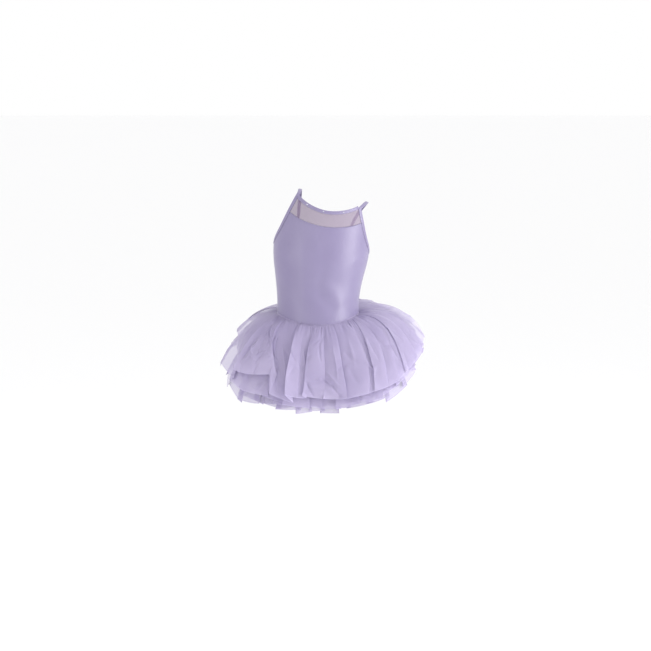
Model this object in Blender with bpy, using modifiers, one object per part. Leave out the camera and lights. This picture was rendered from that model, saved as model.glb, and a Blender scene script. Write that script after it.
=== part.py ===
"""Child's ballet dress: camisole bodice, sheer yoke, brief and three gathered tulle tiers.

Metres, +Z up. The front faces -Y and the wearer's left is +X. The origin lies on the line
over the shoulders, midway along it, where the wearer holds the dress up. The bodice is
modelled upright first, and the lean of its pose is added to every point at the end.
"""

import math

import bpy
import numpy as np

MM = 0.001
COLLECTION = "ballet_dress"

# Heights below the shoulder line, in millimetres
SEAM_SIDE = -280.0
SEAM_FRONT = -300.0
SEAM_BACK = -280.0
ARMHOLE_BOTTOM = -130.0
YOKE_SEAM_CENTRE = -69.0
NECK_CENTRE = -40.0
BACK_NECK_CENTRE = -112.0

# Cloth and trim, in millimetres
JERSEY = 1.2
MESH = 1.0
TULLE = 1.0
BINDING = 1.8
BINDING_WIDTH = 8.0
BINDING_CROWN = 0.25
BINDING_PROUD = 0.3
GAP = 0.3
# How sharply a neckline turns up from its centre to its ends
DIP_POWER = 1.8
# How far short of the straps each end of a neck binding stops
NECK_END_TRIM = math.radians(0.35)
PANEL_COLUMNS = 17

# The pose: the bodice leans to the wearer's left, most at the shoulders and not at all
# at the waist seam, as it does when the right arm is raised.
LEAN_AT_TOP = math.radians(11.0)
LEAN_LENGTH = 280.0

# Ellipses of a general child's torso: height, half width and half depth
TORSO = (
    (0.0, 104.0, 62.0),
    (-18.0, 106.0, 70.0),
    (-50.0, 109.0, 79.0),
    (-90.0, 112.0, 85.0),
    (-130.0, 113.0, 87.0),
    (-160.0, 110.0, 86.0),
    (-190.0, 104.5, 83.0),
    (-225.0, 99.0, 80.5),
    (-255.0, 96.5, 80.5),
    (-280.0, 97.0, 82.0),
    (-300.0, 98.0, 83.5),
    (-330.0, 99.5, 86.0),
)

# Edge of the front armhole from the side seam up to the corner of the neck: angle round
# the torso from its centre front, and height. The yoke begins at YOKE_ROW.
FRONT_EDGE = (
    (90.0, -130.0),
    (81.0, -124.0),
    (72.0, -111.0),
    (62.5, -92.0),
    (56.0, -72.0),
    (50.4, -50.0),
    (46.5, -34.0),
    (42.8, -18.0),
)
YOKE_ROW = 5
# The same for the back, with the angle measured from the centre back
BACK_EDGE = (
    (90.0, -130.0),
    (80.0, -126.0),
    (68.0, -117.0),
    (54.0, -104.0),
    (43.0, -94.0),
    (34.0, -88.0),
)

# Free part of each strap from the front corner to the back one: the distance from the
# centre line, the depth and the height. The raised arm draws the right strap inward.
STRAP_LEFT = ((82.0, -36.0, -7.0), (90.0, -8.0, 0.0), (88.0, 28.0, -9.0), (74.0, 60.0, -44.0))
STRAP_RIGHT = ((-71.0, -36.0, -6.0), (-70.0, -8.0, 0.0), (-68.0, 28.0, -9.0), (-65.0, 60.0, -44.0))
# The straps face away from an axis through the shoulders: its share of their distance from
# the centre line, its depth and its height
STRAP_AXIS = (0.9, 10.0, -90.0)
STRAP_STATIONS = 19

# Rows of the brief from the waist seam to the crotch seam: height and depth on the centre
# line, then the distance from it, depth and height on the leg edge, and how far round the
# body the row curves.
BRIEF_FRONT = (
    (-318.0, -85.0, 98.0, 0.0, -300.0, 90.0),
    (-336.0, -86.0, 99.5, 0.0, -318.0, 90.0),
    (-356.0, -86.0, 92.0, -34.0, -340.0, 80.0),
    (-376.0, -82.0, 78.0, -53.0, -363.0, 70.0),
    (-397.0, -72.0, 60.0, -58.0, -387.0, 60.0),
    (-415.0, -54.0, 43.0, -48.0, -409.0, 50.0),
    (-428.0, -28.0, 31.0, -27.0, -424.0, 45.0),
    (-432.0, 4.0, 27.0, 4.0, -430.0, 40.0),
)
BRIEF_BACK = (
    (-300.0, 83.5, 98.0, 0.0, -300.0, 90.0),
    (-320.0, 88.0, 99.5, 0.0, -318.0, 90.0),
    (-345.0, 93.0, 97.0, 24.0, -341.0, 84.0),
    (-370.0, 93.0, 88.0, 44.0, -366.0, 74.0),
    (-395.0, 84.0, 72.0, 57.0, -390.0, 62.0),
    (-415.0, 66.0, 52.0, 56.0, -411.0, 52.0),
    (-428.0, 38.0, 34.0, 35.0, -425.0, 45.0),
    (-432.0, 4.0, 27.0, 4.0, -430.0, 40.0),
)

BRIEF_COLUMNS = 13
BRIEF_SEAM_REACH = 30.0

# Hems of the tulle tiers: the angle round from the centre front towards the wearer's left,
# the distance of the hem from the axis, its height against the side seam, and the angle at
# which the gathered tulle leaves the waist.
HEM_TOP = (
    (0, 184, -181, -42),
    (45, 222, -150, -26),
    (90, 248, -68, 10),
    (135, 247, -24, 24),
    (180, 240, -24, 22),
    (225, 220, -38, 8),
    (270, 196, -54, -6),
    (315, 224, -136, -28),
)
HEM_MIDDLE = (
    (0, 164, -204, -52),
    (45, 214, -178, -38),
    (90, 256, -92, -10),
    (135, 240, -66, 2),
    (180, 232, -66, 2),
    (225, 230, -82, -4),
    (270, 234, -122, -22),
    (315, 225, -181, -44),
)
HEM_BOTTOM = (
    (0, 140, -216, -62),
    (45, 188, -200, -52),
    (90, 228, -140, -30),
    (135, 222, -112, -18),
    (180, 214, -112, -18),
    (225, 214, -124, -24),
    (270, 216, -158, -38),
    (315, 200, -206, -56),
)
# Each tier: its name, hem, place in the stack at the seam, folds, seed of their spacing,
# and depth of a fold at the hem
TIERS = (
    ("tulle_bottom_tier", HEM_BOTTOM, 0, 26, 11, 7.0),
    ("tulle_middle_tier", HEM_MIDDLE, 1, 26, 23, 6.5),
    ("tulle_top_tier", HEM_TOP, 2, 28, 5, 7.5),
)
FOLD_SAMPLES = 5
TIER_ROWS = (0.0, 0.13, 0.4, 0.7, 1.0)
SEAM_DROP = 4.6
STACK_STEP = 1.5
SEAM_CLEARANCE = 1.5
# Share of a tier's length that it runs straight out before it starts to droop
PUFF = 0.52
# Small gathers below the seam: their number, depth, and how soon they die out down the tier
GATHER_FOLDS = 28
GATHER_DEPTH = 2.6
GATHER_FADE = 1.6
# A fold's depth grows from nothing at the seam by this power of the way down
FOLD_GROWTH = 1.3
FOLD_WIDTH_CHANGE = 0.35
FOLD_DEPTH_CHANGE = 0.3
HEM_UNEVEN = 4.0

LAVENDER = (0.50, 0.42, 0.70)
LAVENDER_TULLE = (0.62, 0.55, 0.80)


def clear_scene():
    for obj in list(bpy.data.objects):
        bpy.data.objects.remove(obj)


def cloth_material(name, colour, roughness, alpha=1.0):
    material = bpy.data.materials.new(name)
    material.use_nodes = True
    shader = material.node_tree.nodes["Principled BSDF"]
    shader.inputs["Base Color"].default_value = (*colour, 1.0)
    shader.inputs["Roughness"].default_value = roughness
    shader.inputs["Metallic"].default_value = 0.0
    shader.inputs["Alpha"].default_value = alpha
    return material


def smooth(at, xs, ys):
    """A smooth curve through the points (xs, ys), with xs rising."""
    xs, ys = np.asarray(xs, float), np.asarray(ys, float)
    slopes = np.gradient(ys, xs)
    at = np.clip(np.asarray(at, float), xs[0], xs[-1])
    i = np.clip(np.searchsorted(xs, at) - 1, 0, len(xs) - 2)
    step = xs[i + 1] - xs[i]
    t = (at - xs[i]) / step
    rise = ys[i + 1] - ys[i]
    s0, s1 = slopes[i] * step, slopes[i + 1] * step
    return ys[i] + t * (s0 + t * (3 * rise - 2 * s0 - s1 + t * (s0 + s1 - 2 * rise)))


def round_table(at_degrees, table, column):
    """A column of a table whose rows go round the body, smooth across the centre front."""
    rows = [(row[0] - 360, *row[1:]) for row in table] + list(table)
    rows += [(row[0] + 360, *row[1:]) for row in table]
    return smooth(at_degrees, [row[0] for row in rows], [row[column] for row in rows])


def torso(angle, height, out=0.0):
    """Points on the torso, in millimetres. The angle is in radians from the centre front."""
    heights = [row[0] for row in reversed(TORSO)]
    half_width = smooth(height, heights, [row[1] for row in reversed(TORSO)]) + out
    half_depth = smooth(height, heights, [row[2] for row in reversed(TORSO)]) + out
    x, y = half_width * np.sin(angle), -half_depth * np.cos(angle)
    return np.stack([x, y, np.broadcast_to(height, np.shape(x))], axis=-1)


def seam_height(angle):
    """The waist seam dips at the centre front."""
    front = np.clip(np.cos(angle), 0, 1) ** 2
    back = np.clip(-np.cos(angle), 0, 1) ** 2
    return SEAM_SIDE + (SEAM_FRONT - SEAM_SIDE) * front + (SEAM_BACK - SEAM_SIDE) * back


def lean(points):
    """The pose, in metres: each level turns about the depth axis, more the higher it is."""
    points = np.asarray(points, float)
    below = np.clip(-points[..., 2], 0, LEAN_LENGTH)
    turn = LEAN_AT_TOP * (1 - below / LEAN_LENGTH)
    curve = LEAN_LENGTH / LEAN_AT_TOP
    axis_x = -curve * (np.cos(turn) - math.cos(LEAN_AT_TOP))
    axis_z = -curve * (math.sin(LEAN_AT_TOP) - np.sin(turn))
    off_axis = points[..., 2] + below
    return MM * np.stack(
        [
            axis_x + points[..., 0] * np.cos(turn) + off_axis * np.sin(turn),
            points[..., 1],
            axis_z - points[..., 0] * np.sin(turn) + off_axis * np.cos(turn),
        ],
        axis=-1,
    )


def cloth(name, grid, thickness, material, closed=False):
    """A sheet through a grid of points, rows by columns, given its thickness inward."""
    rows, columns = grid.shape[:2]
    around = columns if closed else columns - 1
    faces = []
    for r in range(rows - 1):
        for c in range(around):
            right = (c + 1) % columns
            faces.append(
                (r * columns + c, r * columns + right, (r + 1) * columns + right, (r + 1) * columns + c)
            )
    mesh = bpy.data.meshes.new(name)
    mesh.from_pydata(lean(grid).reshape(-1, 3).tolist(), [], faces)
    mesh.materials.append(material)
    mesh.shade_smooth()
    obj = bpy.data.objects.new(name, mesh)
    bpy.data.collections[COLLECTION].objects.link(obj)
    wall = obj.modifiers.new("wall", "SOLIDIFY")
    wall.thickness = thickness * MM
    wall.offset = -1.0
    wall.use_even_offset = True
    return obj


def edge_rows(edge, first, last, rows):
    """Angles in radians and heights of evenly spaced rows up an armhole edge."""
    at = np.linspace(first, last, rows)
    index = np.arange(len(edge))
    angle = smooth(at, index, [row[0] for row in edge])
    return np.radians(angle), smooth(at, index, [row[1] for row in edge])


def panel_grid(edge_angle, edge_height, centre_height, back=False, level=1.0):
    """A panel whose every row runs from one edge, down to its centre line and up to the other.

    level is 0 on a row that follows the waist seam and 1 on one shaped as a neckline.
    """
    across = np.linspace(-1, 1, PANEL_COLUMNS)
    angle = across[None, :] * edge_angle[:, None]
    level = np.broadcast_to(level, np.shape(edge_angle))[:, None]
    climb = level * np.abs(across) ** DIP_POWER + (1 - level) * np.sin(0.5 * math.pi * across) ** 2
    height = centre_height[:, None] + (edge_height - centre_height)[:, None] * climb
    return torso(angle + (math.pi if back else 0.0), height)


def side_seam_angle():
    """A quarter turn, less half of the gap between the front and back panels.

    The walls' inner edges reach a little past the outer ones, so the outer gap is doubled.
    """
    return math.pi / 2 - GAP / TORSO[-4][2]


def bodice_front(material):
    side_rows, arm_rows = 7, 7
    side_heights = np.linspace(SEAM_SIDE, ARMHOLE_BOTTOM, side_rows)
    arm_angle, arm_height = edge_rows(FRONT_EDGE, 0, YOKE_ROW, arm_rows)
    angle = np.concatenate([np.full(side_rows, side_seam_angle()), arm_angle[1:]])
    height = np.concatenate([side_heights, arm_height[1:]])
    share = np.linspace(0, 1, len(height))
    centre = SEAM_FRONT + (YOKE_SEAM_CENTRE - SEAM_FRONT) * share
    grid = panel_grid(angle, height, centre, level=share)
    return cloth("bodice_front", grid, JERSEY, material)


def bodice_back(material):
    side_rows, arm_rows = 7, 6
    side_heights = np.linspace(SEAM_SIDE, ARMHOLE_BOTTOM, side_rows)
    arm_angle, arm_height = edge_rows(BACK_EDGE, 0, len(BACK_EDGE) - 1, arm_rows)
    angle = np.concatenate([np.full(side_rows, side_seam_angle()), arm_angle[1:]])
    height = np.concatenate([side_heights, arm_height[1:]])
    share = np.linspace(0, 1, len(height))
    centre = SEAM_BACK + (BACK_NECK_CENTRE - SEAM_BACK) * share
    grid = panel_grid(angle, height, centre, back=True, level=share)
    return cloth("bodice_back", grid, JERSEY, material)


def yoke_mesh(material):
    rows = 4
    angle, height = edge_rows(FRONT_EDGE, YOKE_ROW, len(FRONT_EDGE) - 1, rows)
    centre = np.linspace(YOKE_SEAM_CENTRE, NECK_CENTRE, rows)
    height[0] += GAP
    centre[0] += GAP
    return cloth("yoke_mesh", panel_grid(angle, height, centre), MESH, material)


def outward(points):
    """Unit normals of the torso near points on it, level with the ground."""
    heights = [row[0] for row in reversed(TORSO)]
    half_width = smooth(points[..., 2], heights, [row[1] for row in reversed(TORSO)])
    half_depth = smooth(points[..., 2], heights, [row[2] for row in reversed(TORSO)])
    normal = np.stack(
        [points[..., 0] / half_width**2, points[..., 1] / half_depth**2, 0 * half_width], axis=-1
    )
    return unit(normal)


def unit(vectors):
    return vectors / np.linalg.norm(vectors, axis=-1, keepdims=True)


def ribbon_grid(path, normals, away, near, far):
    """Three lines of points along a path: near it, in the middle, and far from it."""
    middle = 0.5 * (near + far) * away + BINDING_CROWN * normals
    return np.stack([path + near * away, path + middle, path + far * away])


def neck_binding(name, edge_angle, edge_height, centre_height, material, back=False):
    """The strip along a neckline, from one strap to the other."""
    end = edge_angle - NECK_END_TRIM
    across = np.linspace(-1, 1, 25)
    climb = np.abs(across) ** DIP_POWER
    height = centre_height + (edge_height - centre_height) * climb
    path = torso(across * end + (math.pi if back else 0.0), height)
    normals = outward(path)
    along = unit(np.gradient(path, axis=0))
    away = np.cross(normals, along)
    path = path + BINDING_PROUD * normals
    return cloth(name, ribbon_grid(path, normals, away, GAP, GAP + BINDING_WIDTH), BINDING, material)


def strap_loop(name, side, free_points, material):
    """One long binding: down the back armhole, up the front one and back over the shoulder.

    side is 1 on the wearer's left and -1 on the right.
    """
    back_angle, back_height = edge_rows(BACK_EDGE, len(BACK_EDGE) - 1, 0, 12)
    front_angle, front_height = edge_rows(FRONT_EDGE, 0, len(FRONT_EDGE) - 1, 18)
    back = torso(side * (math.pi - back_angle), back_height)
    front = torso(side * front_angle, front_height)
    armhole = np.concatenate([back, front[1:]])
    normals = outward(armhole)
    away = unit(side * np.cross(np.gradient(armhole, axis=0), normals))
    bound = ribbon_grid(armhole + BINDING_PROUD * normals, normals, away, GAP, GAP + BINDING_WIDTH)
    # The free strap's centre line runs smoothly from the front corner to the back one.
    guide = np.concatenate([bound[1, -2:], np.array(free_points, float), bound[1, :2]])
    at = np.linspace(1, len(guide) - 2, STRAP_STATIONS)
    centre = np.stack([smooth(at, np.arange(len(guide)), guide[:, k]) for k in range(3)], axis=1)
    share = np.linspace(0, 1, STRAP_STATIONS)[:, None]
    axis_x, axis_y, axis_z = STRAP_AXIS
    facing = unit(centre - np.array([axis_x * centre[:, 0].mean(), axis_y, axis_z]))
    # It keeps the armhole's own slope at its two ends.
    free = np.sqrt(np.sin(math.pi * share))
    facing = unit(facing * free + (normals[-1] * (1 - share) + normals[0] * share) * (1 - free))
    across = side * unit(np.cross(unit(np.gradient(centre, axis=0)), facing))
    across = unit(across * free + (away[-1] * (1 - share) + away[0] * share) * (1 - free))
    half = 0.5 * BINDING_WIDTH
    strap = np.stack([centre - half * across, centre + BINDING_CROWN * facing, centre + half * across])
    loop = np.concatenate([bound, strap[:, 1:-1]], axis=1)
    if side < 0:
        loop = loop[:, ::-1]
    return cloth(name, loop, BINDING, material, closed=True)


def brief_panel(name, table, back, material):
    """Half of the brief, from the waist seam down to the crotch seam, between the leg edges."""
    across = np.linspace(-1, 1, BRIEF_COLUMNS)
    angle = side_seam_angle() * across
    top = torso(angle + (math.pi if back else 0.0), seam_height(angle + (math.pi if back else 0.0)))
    top[:, 2] -= GAP
    direction = -1.0 if back else 1.0
    rows = [top]
    for centre_z, centre_y, edge_x, edge_y, edge_z, reach in table:
        turn = math.radians(reach)
        weight = (np.cos(across * turn) - math.cos(turn)) / (1 - math.cos(turn))
        x = direction * edge_x * np.sin(across * turn) / math.sin(turn)
        y = centre_y * weight + edge_y * (1 - weight)
        z = centre_z * weight + edge_z * (1 - weight)
        rows.append(np.stack([x, y, z], axis=1))
    grid = np.stack(rows)
    # The front and the back part by half a gap each where they meet, at the sides and crotch.
    seam = -0.5 * direction * GAP
    grid[..., 1] += np.where(np.abs(grid[..., 1]) < BRIEF_SEAM_REACH, seam, 0.0)
    return cloth(name, grid, JERSEY, material)


def fold_angles(folds, seed):
    """Angles of the columns of a tier, evenly spread over folds of uneven width."""
    widths = 1 + FOLD_WIDTH_CHANGE * np.random.default_rng(seed).uniform(-1, 1, folds)
    ends = np.concatenate([[0], np.cumsum(widths)]) * 2 * math.pi / widths.sum()
    at = np.arange(folds * FOLD_SAMPLES) / FOLD_SAMPLES
    return at, np.interp(at, np.arange(folds + 1), ends)


def tulle_tier(name, hem, place, folds, seed, depth, material):
    """One gathered ring of tulle, from the waist seam out and down to its hem."""
    fold, angle = fold_angles(folds, seed)
    degrees = np.degrees(angle)
    rng = np.random.default_rng(seed + 1)
    own_fold = fold.astype(int)
    own_depth = depth * (1 + FOLD_DEPTH_CHANGE * rng.uniform(-1, 1, folds))[own_fold]
    length_change = HEM_UNEVEN * rng.uniform(-1, 1, folds)[own_fold]
    out = np.stack([np.sin(angle), -np.cos(angle), 0 * angle], axis=1)
    up = np.array([0.0, 0.0, 1.0])
    leave = np.radians(round_table(degrees, hem, 3))[:, None]
    leave_along = np.cos(leave) * out + np.sin(leave) * up
    # Each tier is sewn on over the one below, and never closer to the body than that one.
    stacked = np.cos(leave) * up + np.maximum(-np.sin(leave), 0) * out
    start = torso(angle, seam_height(angle) - SEAM_DROP, SEAM_CLEARANCE)
    start = start + place * STACK_STEP * stacked
    end = round_table(degrees, hem, 1)[:, None] * out
    end[:, 2] = SEAM_SIDE + round_table(degrees, hem, 2)
    span = end - start
    length = np.linalg.norm(span, axis=1, keepdims=True)
    end = end + span / length * length_change[:, None]
    knee = start + PUFF * length * leave_along
    rows = []
    for t in TIER_ROWS:
        point = (1 - t) ** 2 * start + 2 * t * (1 - t) * knee + t * t * end
        slope = 2 * (1 - t) * (knee - start) + 2 * t * (end - knee)
        level = (slope * out).sum(1, keepdims=True)
        normal = unit(up * level - out * slope[:, 2:3])
        fade = math.sin(math.pi * min(1.0, GATHER_FADE * t))
        gather = GATHER_DEPTH * fade * np.cos(GATHER_FOLDS * angle)
        ruffle = own_depth * t**FOLD_GROWTH * np.cos(2 * math.pi * fold)
        rows.append(point + (gather + ruffle)[:, None] * normal)
    return cloth(name, np.stack(rows), TULLE, material, closed=True)


def main():
    clear_scene()
    bpy.context.scene.collection.children.link(bpy.data.collections.new(COLLECTION))
    jersey = cloth_material("jersey", LAVENDER, 0.55)
    mesh = cloth_material("stretch_mesh", LAVENDER_TULLE, 0.7, alpha=0.45)
    binding = cloth_material("binding", LAVENDER, 0.5)
    tulle = cloth_material("tulle", LAVENDER_TULLE, 0.75, alpha=0.6)
    bodice_front(jersey)
    bodice_back(jersey)
    yoke_mesh(mesh)
    corner = FRONT_EDGE[-1]
    neck_binding("neck_binding_front", math.radians(corner[0]), corner[1], NECK_CENTRE, binding)
    corner = BACK_EDGE[-1]
    neck_binding(
        "neck_binding_back", math.radians(corner[0]), corner[1], BACK_NECK_CENTRE, binding, back=True
    )
    strap_loop("strap_left", 1, STRAP_LEFT, binding)
    strap_loop("strap_right", -1, STRAP_RIGHT, binding)
    brief_panel("brief_front", BRIEF_FRONT, False, jersey)
    brief_panel("brief_back", BRIEF_BACK, True, jersey)
    for tier in TIERS:
        tulle_tier(*tier, tulle)


main()
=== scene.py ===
"""Looks of a child's ballet dress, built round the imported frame.

Lengths are in millimetres in the dress's upright construction space, where z is 0 on the line
over the shoulders, the front faces -Y and the dress's own left is +X. lean() adds the worn pose and
turns them into metres in the frame.
"""

import math

import bpy
import numpy as np
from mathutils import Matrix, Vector


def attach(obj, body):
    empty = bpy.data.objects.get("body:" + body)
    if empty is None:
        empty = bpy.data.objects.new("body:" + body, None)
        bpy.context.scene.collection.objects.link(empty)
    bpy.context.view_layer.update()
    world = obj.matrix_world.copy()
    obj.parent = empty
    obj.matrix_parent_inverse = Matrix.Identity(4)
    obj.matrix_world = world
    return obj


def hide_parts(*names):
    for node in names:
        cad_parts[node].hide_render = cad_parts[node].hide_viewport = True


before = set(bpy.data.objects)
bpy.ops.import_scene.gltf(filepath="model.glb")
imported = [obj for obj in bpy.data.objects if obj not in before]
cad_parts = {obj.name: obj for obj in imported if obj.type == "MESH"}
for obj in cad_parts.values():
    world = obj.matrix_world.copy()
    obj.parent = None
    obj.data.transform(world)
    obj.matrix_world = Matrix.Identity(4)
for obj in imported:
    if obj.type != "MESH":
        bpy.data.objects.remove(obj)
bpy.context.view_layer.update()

MM = 0.001

# Heights below the shoulder line
SEAM_SIDE = -280.0
SEAM_FRONT = -300.0
SEAM_BACK = -280.0
ARMHOLE_BOTTOM = -130.0
YOKE_SEAM_CENTRE = -69.0
NECK_CENTRE = -40.0
BACK_NECK_CENTRE = -112.0
DIP_POWER = 1.8

# The pose: the bodice leans to its own left, most at the shoulders
LEAN_AT_TOP = math.radians(11.0)
LEAN_LENGTH = 280.0

# Ellipses of a general torso: height, half width and half depth
TORSO = (
    (0.0, 104.0, 62.0),
    (-18.0, 106.0, 70.0),
    (-50.0, 109.0, 79.0),
    (-90.0, 112.0, 85.0),
    (-130.0, 113.0, 87.0),
    (-160.0, 110.0, 86.0),
    (-190.0, 104.5, 83.0),
    (-225.0, 99.0, 80.5),
    (-255.0, 96.5, 80.5),
    (-280.0, 97.0, 82.0),
    (-300.0, 98.0, 83.5),
    (-330.0, 99.5, 86.0),
)

# Edges of the armholes from the side seam up: angle from the centre front or back, and height
FRONT_EDGE = (
    (90.0, -130.0),
    (81.0, -124.0),
    (72.0, -111.0),
    (62.5, -92.0),
    (56.0, -72.0),
    (50.4, -50.0),
    (46.5, -34.0),
    (42.8, -18.0),
)
YOKE_ROW = 5
BACK_EDGE = (
    (90.0, -130.0),
    (80.0, -126.0),
    (68.0, -117.0),
    (54.0, -104.0),
    (43.0, -94.0),
    (34.0, -88.0),
)

# Free part of each strap from the front corner to the back one: x, depth and height
STRAP_LEFT = ((82.0, -36.0, -7.0), (90.0, -8.0, 0.0), (88.0, 28.0, -9.0), (74.0, 60.0, -44.0))
STRAP_RIGHT = ((-71.0, -36.0, -6.0), (-70.0, -8.0, 0.0), (-68.0, 28.0, -9.0), (-65.0, 60.0, -44.0))
# The straps face away from an axis through the shoulders: its share of their distance from the
# centre line, its depth and its height
STRAP_AXIS = (0.9, 10.0, -90.0)

# Rows of the brief below the waist seam: height and depth on the centre line, then the
# distance from it, depth and height on the leg edge, and how far round the body the row curves
BRIEF_FRONT = (
    (-318.0, -85.0, 98.0, 0.0, -300.0, 90.0),
    (-336.0, -86.0, 99.5, 0.0, -318.0, 90.0),
    (-356.0, -86.0, 92.0, -34.0, -340.0, 80.0),
    (-376.0, -82.0, 78.0, -53.0, -363.0, 70.0),
    (-397.0, -72.0, 60.0, -58.0, -387.0, 60.0),
    (-415.0, -54.0, 43.0, -48.0, -409.0, 50.0),
    (-428.0, -28.0, 31.0, -27.0, -424.0, 45.0),
    (-432.0, 4.0, 27.0, 4.0, -430.0, 40.0),
)
BRIEF_BACK = (
    (-300.0, 83.5, 98.0, 0.0, -300.0, 90.0),
    (-320.0, 88.0, 99.5, 0.0, -318.0, 90.0),
    (-345.0, 93.0, 97.0, 24.0, -341.0, 84.0),
    (-370.0, 93.0, 88.0, 44.0, -366.0, 74.0),
    (-395.0, 84.0, 72.0, 57.0, -390.0, 62.0),
    (-415.0, 66.0, 52.0, 56.0, -411.0, 52.0),
    (-428.0, 38.0, 34.0, 35.0, -425.0, 45.0),
    (-432.0, 4.0, 27.0, 4.0, -430.0, 40.0),
)

# Hems of the tulle tiers: the angle round from the centre front towards the dress's left,
# the hem's distance from the axis, its height against the side seam, and the angle at which
# the gathered tulle leaves the waist
HEM_TOP = (
    (0, 184, -181, -42),
    (45, 222, -150, -26),
    (90, 248, -68, 10),
    (135, 247, -24, 24),
    (180, 240, -24, 22),
    (225, 220, -38, 8),
    (270, 196, -54, -6),
    (315, 224, -136, -28),
)
HEM_MIDDLE = (
    (0, 164, -204, -52),
    (45, 214, -178, -38),
    (90, 256, -92, -10),
    (135, 240, -66, 2),
    (180, 232, -66, 2),
    (225, 230, -82, -4),
    (270, 234, -122, -22),
    (315, 225, -181, -44),
)
HEM_BOTTOM = (
    (0, 140, -216, -62),
    (45, 188, -200, -52),
    (90, 228, -140, -30),
    (135, 222, -112, -18),
    (180, 214, -112, -18),
    (225, 214, -124, -24),
    (270, 216, -158, -38),
    (315, 200, -206, -56),
)
# How far a tier runs on in the direction in which it leaves the waist, as a share of its span, then
# the step between the tiers at the seam, and how far below the seam and off the torso they start
PUFF = 0.52
STACK_STEP = 1.5
SEAM_DROP = 4.6
SEAM_CLEARANCE = 1.5

# Folds of the outer top sheet over the front, from the viewer's left to right. A fold runs from one
# angle at the waist to another at the hem, and the cloth overlaps itself there by some degrees.
# On top lies the panel before the fold (1) or after it (-1), by a step in mm. Then come four
# facts about the panel after the fold: its crown, how much longer than the tier's hem it is where
# it starts and where it ends, and how far its hem turns under, all in mm.
FRONT_FOLDS = (
    (-128, -128, 4, 1, 4, 1, 0, -4, 0),
    (-101, -94, 4, -1, 4, 2, -6, 4, 0),
    (-69, -56, 4, -1, 6, 1, 12, -18, 0),
    (-62, -43, 0.4, 1, 1, 1, -18, -46, 0),
    (-54, -30, 1.5, 1, 9, -1, 10, 14, 0),
    (-27, -18, 5, -1, 15, 1, 2, 0, 2),
    (-17, -14, 0.4, 1, 2, 1, 0, -4, 3),
    (-5, -10, 3, -1, 9, 6, -8, -6, 12),
    (8, 4, 0.4, 1, 1, 6, -6, 0, 10),
    (20, 17, 5, 1, 6, 2, 0, 2, 0),
    (44, 31, 5, 1, 8, 0, 2, 2, 0),
    (52, 37, 3, -1, 4, 1, 2, 4, 0),
    (60, 44, 4, 1, 5, 0, 4, 6, 0),
    (70, 52, 4, 1, 5, 1, 6, 2, 0),
    (78, 61, 3, -1, 3, 2, 2, 0, 0),
    (85, 72, 4, 1, 3, 1, 4, 2, 0),
    (94, 84, 3, 1, 3, 2, 0, 2, 0),
    (104, 96, 4, 1, 3, 1, 6, 2, 0),
)

# The same for the outer middle sheet, whose flat panel stands out on the viewer's left, for the
# inner sheets of the top and middle tiers, which are short over that panel, and for the outer
# bottom sheet, which shows as a pale band below the others
SIDE_FOLDS = (
    (-118, -116, 6, -1, 6, 0, 2, -2, 0),
    (-92, -87, 3, -1, 4, 0, -6, -24, 0),
    (-72, -64, 6, 1, 8, 0, -10, -12, 0),
    (-58, -52, 6, -1, 7, 1, -12, -20, 0),
    (-44, -36, 5, 1, 4, 1, -18, -10, 0),
    (-30, -24, 3, -1, 6, 1, -6, -2, 0),
    (-14, -9, 5, 1, 7, 1, -8, -2, 0),
    (2, 1, 4, 1, 7, 1, -2, 2, 0),
    (18, 15, 5, -1, 6, 0, 2, -2, 0),
    (33, 28, 4, 1, 7, 1, -4, 2, 0),
    (47, 42, 5, 1, 6, 0, -2, -6, 0),
    (61, 56, 4, -1, 6, 1, -8, -10, 0),
    (75, 71, 5, 1, 7, 0, -12, -8, 0),
    (90, 88, 4, 1, 6, 1, -6, 0, 0),
)
INNER_FOLDS = (
    (-130, -130, 4, 1, 5, 1, -10, -30, 0),
    (-104, -98, 4, -1, 4, 1, -30, -26, 0),
    (-76, -60, 5, -1, 6, 1, -20, -44, 0),
    (-50, -30, 3, 1, 8, 0, 8, 8, 0),
    (-24, -18, 4, -1, 6, 2, 0, 4, 0),
)
LOW_FOLDS = (
    (-84, -80, 4, 1, 7, 0, 0, 4, 0),
    (-66, -60, 4, -1, 6, 1, 2, -12, 0),
    (-50, -44, 2, 1, 6, 0, -16, -20, 0),
    (-38, -31, 3, -1, 7, 1, -6, -8, 0),
    (-22, -16, 5, 1, 8, 0, 2, -2, 0),
    (-10, -7, 3, -1, 6, 1, -4, -4, 0),
    (6, 4, 5, 1, 8, 0, 2, 4, 0),
    (22, 17, 4, -1, 7, 0, -8, -8, 0),
    (34, 27, 3, 1, 6, 1, -6, -8, 0),
    (48, 41, 5, 1, 6, 0, -8, -4, 0),
)

# Creases of the outer top sheet over the front: angle and share of the length at their start and
# end, then height and width
FRONT_CREASES = (
    (-49, 0.4, -56, 0.92, -5.5, 2.2),
    (-46, 0.42, -53, 0.9, 4.2, 2.2),
    (-47, 0.74, -33, 0.58, 4.4, 2.0),
    (-44, 0.2, -33, 0.44, -5.0, 2.4),
    (-40, 0.18, -31, 0.5, 3.6, 2.2),
    (-36, 0.6, -46, 0.85, -3.2, 2.4),
    (-58, 0.35, -60, 0.85, 3.0, 2.4),
    (-24, 0.3, -20, 0.9, 3.0, 2.6),
    (-10, 0.8, -3, 0.99, -5.5, 2.8),
    (-8, 0.79, 3, 0.75, -3.4, 2.2),
    (1, 0.74, 13, 0.88, -6.0, 3.0),
    (9, 0.8, 17, 0.99, -5.5, 2.8),
    (5, 0.66, 15, 0.86, 4.6, 2.6),
    (0, 0.25, 1, 0.55, -3.8, 2.6),
    (13, 0.3, 14, 0.8, 3.0, 2.6),
    (25, 0.25, 25, 0.7, 3.2, 2.6),
)


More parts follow.
